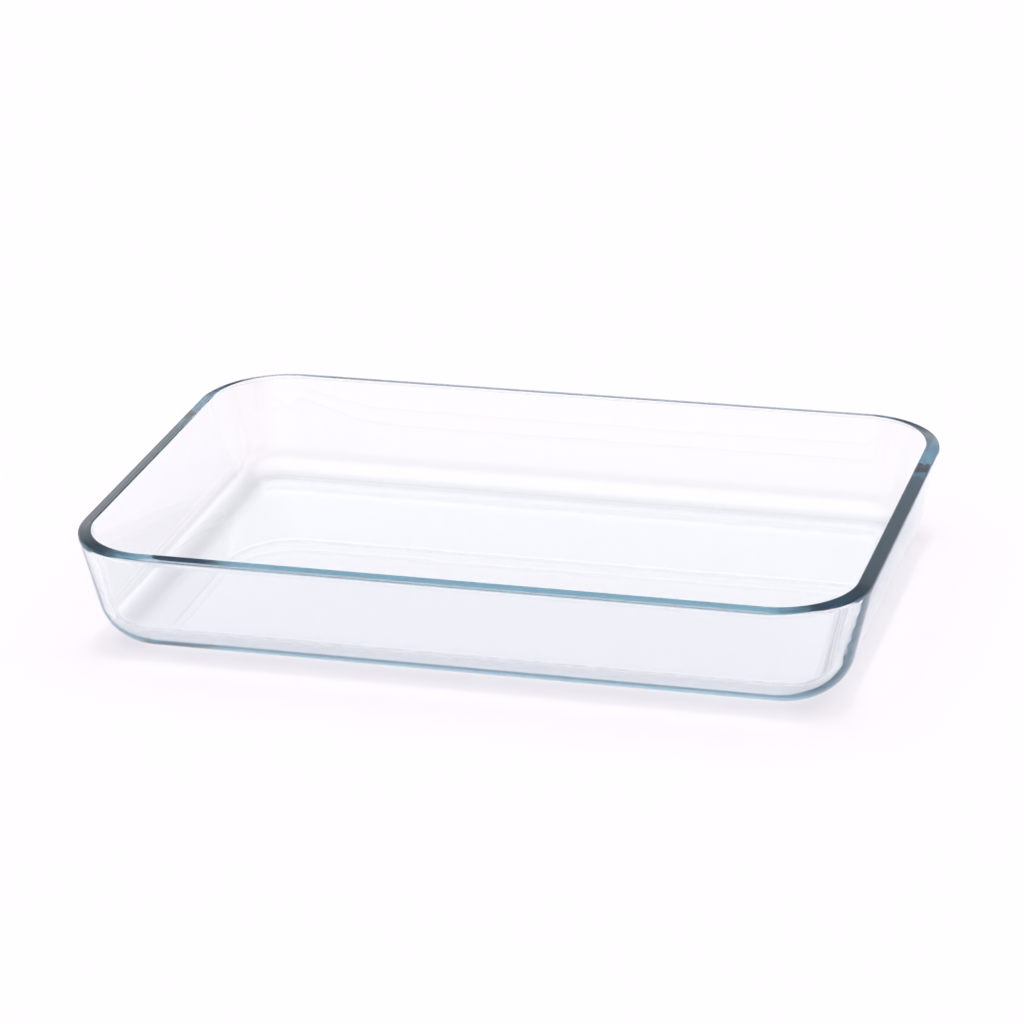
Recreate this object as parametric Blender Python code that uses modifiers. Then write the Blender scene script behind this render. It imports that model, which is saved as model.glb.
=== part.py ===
# Rectangular glass baking dish, pressed in one piece from clear borosilicate glass.
# The dish stands on its flat underside: +X runs along its length, +Z up, and the origin is the centre of the
# underside. The mould shapes the outside and the plunger shapes the hollow, so each side has its own lean and its
# own bend at the bottom. Both are lofted ring by ring from one profile and then mirrored.

from math import cos, pi, radians, sin, tan

import bmesh
import bpy

# Driving dimensions, in metres and radians
LENGTH = 0.400                # over the rim
WIDTH = 0.257                 # over the rim
HEIGHT = 0.0588               # underside to the top of the rim
CORNER_RADIUS = 0.045         # corner of the rim, seen from above
HEEL_CORNER_RADIUS = 0.034    # corner of the outside where the wall meets the heel
CORNER_FILL = 0.001           # extra radius of the hollow's corners, which leaves them thicker
RIM_WIDTH = 0.0067            # thickness of the glass at the top
RIM_ROLL_WIDTH = 0.0035       # fire-polished outer half of the rim, measured inwards
RIM_ROLL_HEIGHT = 0.0024      # the same curve, measured down from the top
RIM_EDGE_ROUND = 0.0014       # round edge between the rim and the hollow
LIP_HEIGHT = 0.0025           # upright band round the outside of the rim, with the curve above it
LIP_STEP = 0.0004             # how far that band stands out from the wall
OUTER_DRAFT = radians(13.6)   # lean of the outside of the wall
INNER_DRAFT = radians(14.2)   # lean of the inside of the wall
FLOOR_THICKNESS = 0.0085
OUTER_HEEL_RADIUS = 0.0255    # bend from the wall to the underside
INNER_HEEL_RADIUS = 0.015     # bend from the wall to the floor of the hollow

# Steps of the faceting
CORNER_STEPS = 12
HEEL_STEPS = 10
EDGE_STEPS = 5
SMALLEST_RADIUS = 0.0005
MERGE_DISTANCE = 0.00001
SHARP_ANGLE = radians(30)

UP = pi / 2


def clear_scene():
    for old in list(bpy.data.objects):
        bpy.data.objects.remove(old)


def arc(centre, radii, start, end, steps):
    """Points of a bend about a centre. An oval bend has two different radii."""
    turns = [start + (end - start) * step / steps for step in range(steps + 1)]
    return [(centre[0] + radii[0] * cos(turn), centre[1] + radii[1] * sin(turn)) for turn in turns]


def outer_wall_inset(height):
    return LIP_STEP + tan(OUTER_DRAFT) * (HEIGHT - LIP_HEIGHT - height)


def inner_wall_inset(height):
    return RIM_WIDTH + tan(INNER_DRAFT) * (HEIGHT - height)


def outer_heel():
    """From the edge of the underside up to the wall."""
    radius = OUTER_HEEL_RADIUS
    centre = (outer_wall_inset(radius) + radius / cos(OUTER_DRAFT), radius)
    return arc(centre, (radius, radius), -UP, OUTER_DRAFT - pi, HEEL_STEPS)


def outer_rim():
    """From the foot of the lip up and over to the flat top."""
    foot = (LIP_STEP, HEIGHT - LIP_HEIGHT + LIP_STEP)
    lip = arc(foot, (LIP_STEP, LIP_STEP), -UP, -pi, EDGE_STEPS)
    roll_centre = (RIM_ROLL_WIDTH, HEIGHT - RIM_ROLL_HEIGHT)
    return lip + arc(roll_centre, (RIM_ROLL_WIDTH, RIM_ROLL_HEIGHT), pi, UP, EDGE_STEPS)


def inner_rim():
    """From the flat top over into the hollow."""
    radius = RIM_EDGE_ROUND
    height = HEIGHT - radius
    centre = (inner_wall_inset(height) - radius / cos(INNER_DRAFT), height)
    return arc(centre, (radius, radius), UP, INNER_DRAFT, EDGE_STEPS)


def inner_heel():
    """From the wall down to the edge of the floor."""
    radius = INNER_HEEL_RADIUS
    height = FLOOR_THICKNESS + radius
    centre = (inner_wall_inset(height) + radius / cos(INNER_DRAFT), height)
    return arc(centre, (radius, radius), INNER_DRAFT - pi, -UP, HEEL_STEPS)


def add_corners(profile, rim, heel):
    """Gives each point its corner radius: an even taper from rim to heel, then parallel rings below."""
    (rim_inset, rim_radius), (heel_inset, heel_radius) = rim, heel
    taper = (heel_radius - rim_radius) / (heel_inset - rim_inset)
    rings = []
    for inset, height in profile:
        above = rim_radius + taper * (inset - rim_inset)
        below = heel_radius - (inset - heel_inset)
        radius = above if inset < heel_inset else below
        rings.append((inset, height, max(radius, SMALLEST_RADIUS)))
    return rings


def dish_rings():
    """Every ring of the dish, from the edge of the underside over the rim to the edge of the floor."""
    outer_tangent, height = outer_heel()[-1]
    inner_tangent = inner_heel()[0][0]
    wall = inner_wall_inset(height) - outer_tangent
    outside = add_corners(outer_heel() + outer_rim(), (0.0, CORNER_RADIUS), (outer_tangent, HEEL_CORNER_RADIUS))
    hollow_rim = (RIM_WIDTH, CORNER_RADIUS + CORNER_FILL - RIM_WIDTH)
    hollow_heel = (inner_tangent, HEEL_CORNER_RADIUS + CORNER_FILL - wall)
    return outside + add_corners(inner_rim() + inner_heel(), hollow_rim, hollow_heel)


def quarter_ring(bm, inset, height, radius):
    """One quarter of a rounded rectangle, from the middle of the long side round to the short side's."""
    half_length = LENGTH / 2 - inset
    half_width = WIDTH / 2 - inset
    bend = arc((half_length - radius, half_width - radius), (radius, radius), UP, 0.0, CORNER_STEPS)
    return [bm.verts.new((x, y, height)) for x, y in [(0.0, half_width)] + bend + [(half_length, 0.0)]]


def loft(bm, rings):
    for lower, upper in zip(rings, rings[1:]):
        for a, b, c, d in zip(lower, upper, upper[1:], lower[1:]):
            bm.faces.new((a, b, c, d))


def quarter_of_dish():
    bm = bmesh.new()
    rings = [quarter_ring(bm, *ring) for ring in dish_rings()]
    loft(bm, rings)
    underside_centre = bm.verts.new((0.0, 0.0, 0.0))
    floor_centre = bm.verts.new((0.0, 0.0, FLOOR_THICKNESS))
    bm.faces.new([underside_centre] + rings[0])
    bm.faces.new([floor_centre] + rings[-1][::-1])
    mesh = bpy.data.meshes.new("glass_dish")
    bm.to_mesh(mesh)
    bm.free()
    return mesh


def glass_material():
    material = bpy.data.materials.new("pressed_borosilicate_glass")
    material.use_nodes = True
    shader = material.node_tree.nodes["Principled BSDF"]
    shader.inputs["Base Color"].default_value = (0.86, 0.93, 0.95, 1.0)
    shader.inputs["Metallic"].default_value = 0.0
    shader.inputs["Roughness"].default_value = 0.02
    shader.inputs["IOR"].default_value = 1.47
    shader.inputs["Transmission Weight"].default_value = 1.0
    return material


def build_dish(collection):
    mesh = quarter_of_dish()
    mesh.shade_smooth()
    mesh.set_sharp_from_angle(angle=SHARP_ANGLE)
    mesh.materials.append(glass_material())
    dish = bpy.data.objects.new("glass_dish", mesh)
    collection.objects.link(dish)
    mirror = dish.modifiers.new("four_quarters", "MIRROR")
    mirror.use_axis = (True, True, False)
    mirror.merge_threshold = MERGE_DISTANCE


def main():
    clear_scene()
    collection = bpy.data.collections.new("rectangular_glass_dish")
    bpy.context.scene.collection.children.link(collection)
    build_dish(collection)


main()
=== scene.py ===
# %% [markdown]
# # A rectangular glass baking dish
#
# A pressed glass dish has no colour of its own to paint. What the eye reads as its shape is light that the glass
# bends, traps and lets out again: pale in the floor and walls, where it passes straight through, and blue-green in the
# rim and the heel, where it has run a long way inside. So the work here goes into a true cross-section, a physical
# glass, and a studio for it to show.

# %% Load the frame
from math import acos, cos, degrees, exp, pi, radians, sin, tan

import bmesh
import bpy
from mathutils import Matrix, Vector


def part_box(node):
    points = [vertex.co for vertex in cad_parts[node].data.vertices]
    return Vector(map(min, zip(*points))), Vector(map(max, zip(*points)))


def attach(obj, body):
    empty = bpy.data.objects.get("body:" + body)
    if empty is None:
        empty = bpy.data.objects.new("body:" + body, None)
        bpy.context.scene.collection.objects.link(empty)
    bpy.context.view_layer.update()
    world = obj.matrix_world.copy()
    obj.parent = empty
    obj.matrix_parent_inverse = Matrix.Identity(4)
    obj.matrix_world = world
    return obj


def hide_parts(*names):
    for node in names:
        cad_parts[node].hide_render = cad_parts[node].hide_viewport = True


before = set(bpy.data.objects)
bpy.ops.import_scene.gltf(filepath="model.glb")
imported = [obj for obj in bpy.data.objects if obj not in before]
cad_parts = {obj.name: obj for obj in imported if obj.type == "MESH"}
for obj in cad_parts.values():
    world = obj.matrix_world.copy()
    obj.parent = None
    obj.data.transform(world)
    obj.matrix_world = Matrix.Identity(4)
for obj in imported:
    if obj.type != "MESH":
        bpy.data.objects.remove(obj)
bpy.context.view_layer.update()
LOW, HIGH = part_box("glass_dish")
SIZE = HIGH - LOW
MM = 1000
print("dish, mm:", [round(side * MM, 1) for side in SIZE])

# %% [markdown]
# ## The camera
#
# The photograph was taken with a long lens from nearly two metres away, which is why the far side of the dish looks
# almost as long as the near one. The place and angles were solved from the outlines of the rim and the base. The small
# roll is real: the picture's verticals lean a little.

# %% Camera
CAMERA_PLACE = Vector((0.5272, -1.7247, 0.8079))
CAMERA_YAW = radians(17.07)
CAMERA_PITCH = radians(22.99)
CAMERA_ROLL = radians(-2.31)
LENS_MM = 136.25
SENSOR_MM = 36.0


def add_camera():
    data = bpy.data.cameras.new("long_lens")
    data.lens = LENS_MM
    data.sensor_width = SENSOR_MM
    camera = bpy.data.objects.new("camera", data)
    turn = Matrix.Rotation(CAMERA_YAW, 4, "Z")
    tilt = Matrix.Rotation(pi / 2 - CAMERA_PITCH, 4, "X")
    roll = Matrix.Rotation(CAMERA_ROLL, 4, "Z")
    camera.matrix_world = Matrix.Translation(CAMERA_PLACE) @ turn @ tilt @ roll
    bpy.context.scene.collection.objects.link(camera)
    bpy.context.scene.camera = camera


add_camera()
print("the camera is", round(CAMERA_PLACE.length, 2), "m from the dish")

# %% [markdown]
# ## The cross-section
#
# The dish could be a box cut out of a larger box, or one surface with a Solidify modifier. Neither gives a wall that
# thickens downwards between two different bends, and in clear glass that thickness is most of what shows. So the
# section is drawn first, point by point, and the dish is lofted from it.
#
# Its lines and bends meet tangentially where they can, because clear glass shows every kink as a hard line of light.
# Each point is an inset from the rim's outline and a height.

# %% Lines and bends
UP = pi / 2
EDGE_STEPS = 12


def arc(centre, radii, start, end, steps):
    """Points of a bend about a centre. An oval bend has two different radii."""
    turns = [start + (end - start) * step / steps for step in range(steps + 1)]
    return [(centre[0] + radii[0] * cos(turn), centre[1] + radii[1] * sin(turn)) for turn in turns]


def line(start, end, steps):
    """Points between two points, without either of them."""
    return [tuple(a + (b - a) * step / steps for a, b in zip(start, end)) for step in range(1, steps)]


def round_corner(before, corner, after, radius):
    """The bend that joins two straight lines at a corner."""
    back = (Vector(before) - Vector(corner)).normalized()
    ahead = (Vector(after) - Vector(corner)).normalized()
    half = back.angle(ahead) / 2
    centre = Vector(corner) + (back + ahead).normalized() * radius / sin(half)
    start = Vector(corner) + back * radius / tan(half) - centre
    end = Vector(corner) + ahead * radius / tan(half) - centre
    bend = [start.slerp(end, step / EDGE_STEPS).normalized() for step in range(EDGE_STEPS + 1)]
    return [tuple(centre + direction * radius) for direction in bend]


print("a quarter round turns by", round(degrees(UP) / EDGE_STEPS, 1), "degrees a step")

# %% [markdown]
# ## The mould's side
#
# A mould shapes the outside. It leans, so that the glass comes out, and turns under in a wide heel. The rim's top isn't
# level: it falls outwards from a crest at the hollow's edge, a little more steeply at first, and the fire polish rounds
# it over into the upright lip. Two small kinks stay: the crest, and the foot of the lip, where it stands out from the
# wall.

# %% The mould's side
RIM_WIDTH = 0.0069
RIM_SHOULDER = 0.004
RIM_SHOULDER_DROP = 0.00057
RIM_SHOULDER_ROUND = 0.0017
RIM_EDGE_DROP = 0.00115
RIM_OUTER_ROUND = 0.0012
LIP_HEIGHT = 0.0036
LIP_STEP = 0.00025
OUTER_DRAFT = radians(13.4)
OUTER_HEEL_RADIUS = 0.0255
HEEL_STEPS = 40
WALL_STEPS = 8


def outer_wall_inset(height):
    return LIP_STEP + tan(OUTER_DRAFT) * (SIZE.z - LIP_HEIGHT - height)


def outer_profile():
    """The mould's side, from the edge of the underside up to the rim's shoulder."""
    radius = OUTER_HEEL_RADIUS
    centre = (outer_wall_inset(radius) + radius / cos(OUTER_DRAFT), radius)
    heel = arc(centre, (radius, radius), -UP, OUTER_DRAFT - pi, HEEL_STEPS)
    foot = (0.0, SIZE.z - LIP_HEIGHT)
    edge = (0.0, SIZE.z - RIM_EDGE_DROP)
    shoulder = (RIM_SHOULDER, SIZE.z - RIM_SHOULDER_DROP)
    crest = (RIM_WIDTH, SIZE.z)
    lip = arc((LIP_STEP, foot[1] + LIP_STEP), (LIP_STEP, LIP_STEP), -UP, -pi, EDGE_STEPS)
    outer_round = round_corner(foot, edge, shoulder, RIM_OUTER_ROUND)
    inner_round = round_corner(edge, shoulder, crest, RIM_SHOULDER_ROUND)
    return heel + line(heel[-1], lip[0], WALL_STEPS) + lip + outer_round + inner_round


mould_side = outer_profile()
print("the underside ends", round(mould_side[0][0] * MM, 1), "mm inside the rim's outline")

# %% [markdown]
# ## The plunger's side
#
# A plunger shapes the hollow, with a tighter bend at the bottom. It leans a little more than the mould does, so the
# wall thickens downwards. That keeps the light that enters at the rim inside the wall, and the rim looks dark and
# coloured.

# %% The plunger's side
INNER_DRAFT = radians(14.0)
RIM_INNER_ROUND = 0.0009
INNER_HEEL_RADIUS = 0.015
FLOOR_THICKNESS = 0.0088


def inner_wall_inset(height):
    return RIM_WIDTH + tan(INNER_DRAFT) * (SIZE.z - height)


def inner_profile():
    """The plunger's side, from the crest of the rim down to the edge of the floor."""
    radius = RIM_INNER_ROUND
    height = SIZE.z - radius
    centre = (inner_wall_inset(height) - radius / cos(INNER_DRAFT), height)
    rim = arc(centre, (radius, radius), UP, INNER_DRAFT, EDGE_STEPS)
    radius = INNER_HEEL_RADIUS
    height = FLOOR_THICKNESS + radius
    centre = (inner_wall_inset(height) + radius / cos(INNER_DRAFT), height)
    heel = arc(centre, (radius, radius), INNER_DRAFT - pi, -UP, HEEL_STEPS)
    return rim + line(rim[-1], heel[0], WALL_STEPS) + heel


plunger_side = inner_profile()
heel_inset, heel_height = mould_side[HEEL_STEPS]
wall = inner_wall_inset(heel_height) - heel_inset
print("wall, mm:", round(RIM_WIDTH * MM, 1), "at the rim and", round(wall * MM, 1), "above the heel")

# %% [markdown]
# ## The corners
#
# Seen from above, each point of the section runs round the dish as a rectangle with round corners. Their radius shrinks
# evenly from the rim to the heel, as a mould's does, and below that the rings stay parallel. The plunger's corners are
# a little tighter than the mould's, so the glass is thinner there, and that draws the dark outline which runs round the
# bottom corners.

# %% Corner radii
CORNER_RADIUS = 0.045
HEEL_CORNER_RADIUS = 0.034
PLUNGER_RIM_TIGHTER = 0.001
PLUNGER_HEEL_TIGHTER = 0.004
SMALLEST_RADIUS = 0.0005


def add_corners(profile, rim, heel):
    """Gives each point its corner radius: an even taper from rim to heel, then parallel rings below."""
    (rim_inset, rim_radius), (heel_inset, heel_radius) = rim, heel
    taper = (heel_radius - rim_radius) / (heel_inset - rim_inset)
    rings = []
    for inset, height in profile:
        above = rim_radius + taper * (inset - rim_inset)
        below = heel_radius - (inset - heel_inset)
        rings.append((inset, height, max(above if inset < heel_inset else below, SMALLEST_RADIUS)))
    return rings


def dish_rings():
    """The whole section, from the edge of the underside over the rim to the edge of the floor."""
    hollow_rim = (RIM_WIDTH, CORNER_RADIUS - PLUNGER_RIM_TIGHTER - RIM_WIDTH)
    hollow_heel = (plunger_side[-1 - HEEL_STEPS][0], HEEL_CORNER_RADIUS - PLUNGER_HEEL_TIGHTER - wall)
    outside = add_corners(mould_side, (0.0, CORNER_RADIUS), (heel_inset, HEEL_CORNER_RADIUS))
    return outside + add_corners(plunger_side, hollow_rim, hollow_heel)


section = dish_rings()
print("section:", len(section), "rings, and the floor's corner radius is", round(section[-1][2] * MM, 1), "mm")

# %% [markdown]
# ## The dish
#
# The rings are joined edge to edge, and smaller and smaller ones fill the underside and the floor. One large face would
# do for a flat, but smooth shading bends the light at the edge of such a face, and small rings keep the surface smooth
# where it turns flat.

# %% Rings
CORNER_STEPS = 48
SIDE_STEP = 0.008
FLAT_RINGS = 24


def outline(inset, radius):
    """A rectangle with round corners, as a closed ring of points."""
    half_length, half_width = SIZE.x / 2 - inset, SIZE.y / 2 - inset
    bend = arc((half_length - radius, half_width - radius), (radius, radius), UP, 0.0, CORNER_STEPS)
    start, end = (0.0, half_width), (half_length, 0.0)
    long_steps = round((SIZE.x / 2 - CORNER_RADIUS) / SIDE_STEP)
    short_steps = round((SIZE.y / 2 - CORNER_RADIUS) / SIDE_STEP)
    quarter = [start] + line(start, bend[0], long_steps) + bend + line(bend[-1], end, short_steps) + [end]
    right = quarter + [(x, -y) for x, y in quarter[-2::-1]]
    return right + [(-x, y) for x, y in right[-2:0:-1]]


def ring(bm, points, height, share=1.0):
    return [bm.verts.new((x * share, y * share, height)) for x, y in points]


def flat_rings(bm, edge):
    """Rings that grow from the middle of a flat out to its edge."""
    inset, height, radius = edge
    points = outline(inset, radius)
    return [ring(bm, points, height, step / FLAT_RINGS) for step in range(1, FLAT_RINGS)]


print("each ring has", len(outline(0.0, CORNER_RADIUS)), "points")

# %% Loft
SHARP_ANGLE = radians(35)


def loft(bm, rings):
    for lower, upper in zip(rings, rings[1:]):
        for k in range(len(lower)):
            bm.faces.new((lower[k - 1], upper[k - 1], upper[k], lower[k]))


def close(bm, edge, facing_up):
    """Joins a ring to one point in its middle."""
    middle = bm.verts.new((0.0, 0.0, edge[0].co.z))
    for k in range(len(edge)):
        bm.faces.new((middle, edge[k], edge[k - 1]) if facing_up else (middle, edge[k - 1], edge[k]))


def dish_mesh():
    bm = bmesh.new()
    rings = flat_rings(bm, section[0])
    rings += [ring(bm, outline(inset, radius), height) for inset, height, radius in section]
    rings += flat_rings(bm, section[-1])[::-1]
    loft(bm, rings)
    close(bm, rings[0], facing_up=False)
    close(bm, rings[-1], facing_up=True)
    mesh = bpy.data.meshes.new("dish_glass")
    bm.to_mesh(mesh)
    bm.free()
    return mesh


dish = bpy.data.objects.new("dish_glass", dish_mesh())
bpy.context.scene.collection.objects.link(dish)
dish.data.shade_smooth()
dish.data.set_sharp_from_angle(angle=SHARP_ANGLE)
print("dish:", len(dish.data.polygons), "faces")

# %% [markdown]
# ## Node helpers
#
# Materials and the studio are node trees. Each node takes its settings and its links in one call. Colours are written
# as the sRGB hex values that a colour picker shows, and turned to the linear values that shaders reckon in.


# %% Helpers
def linear(hex_colour):
    """An sRGB hex colour as linear values, by the standard's own curve."""
    parts = [int(hex_colour[k:k + 2], 16) / 255 for k in (0, 2, 4)]
    return tuple(c / 12.92 if c <= 0.04045 else ((c + 0.055) / 1.055) ** 2.4 for c in parts) + (1.0,)


def add_node(tree, kind, settings=None, links=None):
    """Adds a node. Settings are its properties or unlinked inputs, links are input names or places to sockets."""
    node = tree.nodes.new(kind)
    for name, value in (settings or {}).items():
        if name in node.inputs:
            node.inputs[name].default_value = value
        else:
            setattr(node, name, value)
    for name, socket in (links or {}).items():
        tree.links.new(socket, node.inputs[name])
    return node


print("mid grey, 808080, is", round(linear("808080")[0], 3), "in linear light")

# %% [markdown]
# ## Pressed borosilicate glass
#
# Borosilicate bends light a little less than window glass, with an index near 1.47. It is sold as clear, and a few
# millimetres of it are, but traces of iron take red light out first. A few metres would be needed to make it dark,
# and light that runs round inside the rim and the heel does travel tens of centimetres. A tint on the surface would
# colour the thin floor as much as the rim. So the colour is absorption in the volume, given per metre for red, green
# and blue. The fire-polished surface is as smooth as glass can be, and has no roughness.
#
# A plunger chills the glass as it presses, which leaves the skin very slightly wavy. One soft ripple, some ten
# micrometres high and two centimetres long, is enough to break up the straight lines of light in the rim.

# %% Glass
GLASS_HEX = "ffffff"
GLASS_ROUGHNESS = 0.0
GLASS_IOR = 1.473
ABSORB_RED = 5.4
ABSORB_GREEN = 3.5
ABSORB_BLUE = 2.7
ABSORB_DENSITY = 10.0
RIPPLE_SIZE = 0.02
RIPPLE_HEIGHT = 0.00002
RIPPLE_DETAIL = 1.0


def glass_material():
    material = bpy.data.materials.new("pressed_borosilicate_glass")
    material.use_nodes = True
    tree = material.node_tree
    tree.nodes.clear()
    place = add_node(tree, "ShaderNodeTexCoord")
    ripple = add_node(tree, "ShaderNodeTexNoise", {"Scale": 1 / RIPPLE_SIZE, "Detail": RIPPLE_DETAIL},
                      {"Vector": place.outputs["Object"]})
    bump = add_node(tree, "ShaderNodeBump", {"Distance": RIPPLE_HEIGHT}, {"Height": ripple.outputs[0]})
    glass = add_node(tree, "ShaderNodeBsdfPrincipled", {
        "Base Color": linear(GLASS_HEX), "Roughness": GLASS_ROUGHNESS, "IOR": GLASS_IOR, "Transmission Weight": 1.0},
        {"Normal": bump.outputs[0]})
    colour = tuple(1 - a / ABSORB_DENSITY for a in (ABSORB_RED, ABSORB_GREEN, ABSORB_BLUE)) + (1.0,)
    tint = add_node(tree, "ShaderNodeVolumeAbsorption", {"Color": colour, "Density": ABSORB_DENSITY})
    add_node(tree, "ShaderNodeOutputMaterial", {}, {"Surface": glass.outputs[0], "Volume": tint.outputs[0]})
    return material


dish.data.materials.append(glass_material())
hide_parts("glass_dish")
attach(dish, "root")
for name, absorbed in (("red", ABSORB_RED), ("green", ABSORB_GREEN), ("blue", ABSORB_BLUE)):
    print(name, "light left after 100 mm of glass:", round(exp(-absorbed * 100 / MM), 2))

# %% [markdown]
# ## The floor
#
# The dish stands on white studio paper, rolled and uncoated, so it is matt and mirrors nothing. It lies a third of a
# millimetre under the glass, as the foot of a real dish only touches here and there, and that sliver of air keeps the
# glass from looking wet.

# %% Floor
FLOOR_HALF = 10.0
FLOOR_CELLS = 8
FLOOR_GAP = 0.0003
PAPER_HEX = "f4eff4"
PAPER_ROUGHNESS = 0.9
PAPER_SPECULAR = 0.0


def paper_material():
    material = bpy.data.materials.new("white_studio_paper")
    material.use_nodes = True
    paper = material.node_tree.nodes["Principled BSDF"]
    paper.inputs["Base Color"].default_value = linear(PAPER_HEX)
    paper.inputs["Roughness"].default_value = PAPER_ROUGHNESS
    paper.inputs["Specular IOR Level"].default_value = PAPER_SPECULAR
    return material


bpy.ops.mesh.primitive_grid_add(
    x_subdivisions=FLOOR_CELLS, y_subdivisions=FLOOR_CELLS, size=2 * FLOOR_HALF, location=(0, 0, -FLOOR_GAP))
floor = bpy.context.object
floor.name = "studio_floor"
floor.data.materials.append(paper_material())
print("the paper gives back", [round(share, 2) for share in linear(PAPER_HEX)[:3]], "of red, green and blue")

# %% [markdown]
# ## The softbox
#
# Lamps could light the dish, but glass mirrors all that stands round it, and between lamps it would mirror nothing. So
# the world itself is the studio, and the one light of the picture. It shines on the paper, through the dish as well,
# and it is what the rim and the walls mirror.
#
# The soft shadow round the foot of the dish tells where the light came from: a wide softbox overhead, leaning very
# little towards the camera. It is a round patch of the sky with a soft edge. The edge is written as cosines of the
# angle from the patch's middle, and tones are linear.

# %% Softbox
SOFTBOX_TONE = 1.285
SOFTBOX_LEAN = radians(5)
SOFTBOX_EDGE = 0.62
SOFTBOX_FULL = 0.82


def softbox_tone(tree, direction):
    facing = add_node(tree, "ShaderNodeVectorMath", {"operation": "DOT_PRODUCT"}, {0: direction})
    facing.inputs[1].default_value = (0.0, -sin(SOFTBOX_LEAN), cos(SOFTBOX_LEAN))
    softbox = add_node(tree, "ShaderNodeMapRange", {
        "From Min": SOFTBOX_EDGE, "From Max": SOFTBOX_FULL, "To Min": 0.0, "To Max": SOFTBOX_TONE},
        {"Value": facing.outputs["Value"]})
    return softbox.outputs[0]


print("softbox: full to", round(degrees(acos(SOFTBOX_FULL))), "degrees from its middle, and fades out by",
      round(degrees(acos(SOFTBOX_EDGE))))

# %% [markdown]
# ## The room
#
# Behind the dish stands a pale backdrop, which fades towards its top and into the plain room at the sides. Low down
# the room is dark, and the rim takes its dark tones from there, but not on the camera's side: the far wall of the dish
# mirrors that side, and it is bright in the photograph.
#
# Heights are sines of the elevation, 0 at the horizon and 1 straight up, and depths are the same towards the back.

# %% Room
ROOM_TONE = 0.48
BACKDROP_TONE = 0.9
BACKDROP_SIDE_FADE = 0.2
BACKDROP_TOP = 0.3
BACKDROP_TOP_FADE = 0.2
LOW_TONE = 0.2
LOW_TOP = 0.2
LOW_FADE = 0.1
LOW_FRONT_TONE = 1.2
LOW_FRONT_EDGE = -0.6
LOW_FRONT_FULL = -0.9


def room_tone(tree, direction):
    parts = add_node(tree, "ShaderNodeSeparateXYZ", {}, {"Vector": direction})
    behind = add_node(tree, "ShaderNodeMapRange", {
        "From Min": -BACKDROP_SIDE_FADE, "From Max": BACKDROP_SIDE_FADE, "To Min": 0.0, "To Max": BACKDROP_TONE},
        {"Value": parts.outputs["Y"]})
    below_top = add_node(tree, "ShaderNodeMapRange", {
        "From Min": BACKDROP_TOP, "From Max": BACKDROP_TOP + BACKDROP_TOP_FADE, "To Min": 1.0, "To Max": 0.0},
        {"Value": parts.outputs["Z"]})
    backdrop = add_node(tree, "ShaderNodeMath", {"operation": "MULTIPLY_ADD"}, {
        0: behind.outputs[0], 1: below_top.outputs[0]})
    backdrop.inputs[2].default_value = ROOM_TONE
    above_low = add_node(tree, "ShaderNodeMapRange", {
        "From Min": LOW_TOP - LOW_FADE / 2, "From Max": LOW_TOP + LOW_FADE / 2}, {"Value": parts.outputs["Z"]})
    low = add_node(tree, "ShaderNodeMapRange", {
        "From Min": LOW_FRONT_FULL, "From Max": LOW_FRONT_EDGE, "To Min": LOW_FRONT_TONE, "To Max": LOW_TONE},
        {"Value": parts.outputs["Y"]})
    walls = add_node(tree, "ShaderNodeMix", {"data_type": "FLOAT"}, {
        "Factor": above_low.outputs[0], "A": low.outputs[0], "B": backdrop.outputs[0]})
    return walls.outputs[0]


print("tone of the backdrop:", round(ROOM_TONE + BACKDROP_TONE, 2), "and of the plain room:", ROOM_TONE)

# %% [markdown]
# ## The world
#
# The softbox and the room are two tones for one direction, and their sum is what the world sends from there.


# %% World
def studio_world():
    world = bpy.data.worlds.new("studio")
    world.use_nodes = True
    tree = world.node_tree
    tree.nodes.clear()
    direction = add_node(tree, "ShaderNodeTexCoord").outputs["Generated"]
    tone = add_node(tree, "ShaderNodeMath", {"operation": "ADD"}, {
        0: room_tone(tree, direction), 1: softbox_tone(tree, direction)})
    light = add_node(tree, "ShaderNodeBackground", {"Strength": 1.0}, {"Color": tone.outputs[0]})
    add_node(tree, "ShaderNodeOutputWorld", {}, {"Surface": light.outputs[0]})
    return world


studio = studio_world()
bpy.context.scene.world = studio
print("the studio has", len(studio.node_tree.nodes), "nodes")

# %% [markdown]
# ## Finish
#
# Light that the rim and heel trap is turned back well over a hundred times before it gets out, so the bounces are
# many. Blurring after a matt bounce is off, because the paper under the dish is lit through the sharp glass.

# %% Finish
GLASS_BOUNCES = 160
scene = bpy.context.scene
scene.cycles.max_bounces = GLASS_BOUNCES
scene.cycles.transmission_bounces = GLASS_BOUNCES
scene.cycles.glossy_bounces = GLASS_BOUNCES
scene.cycles.blur_glossy = 0.0
scene.view_settings.view_transform = "Standard"
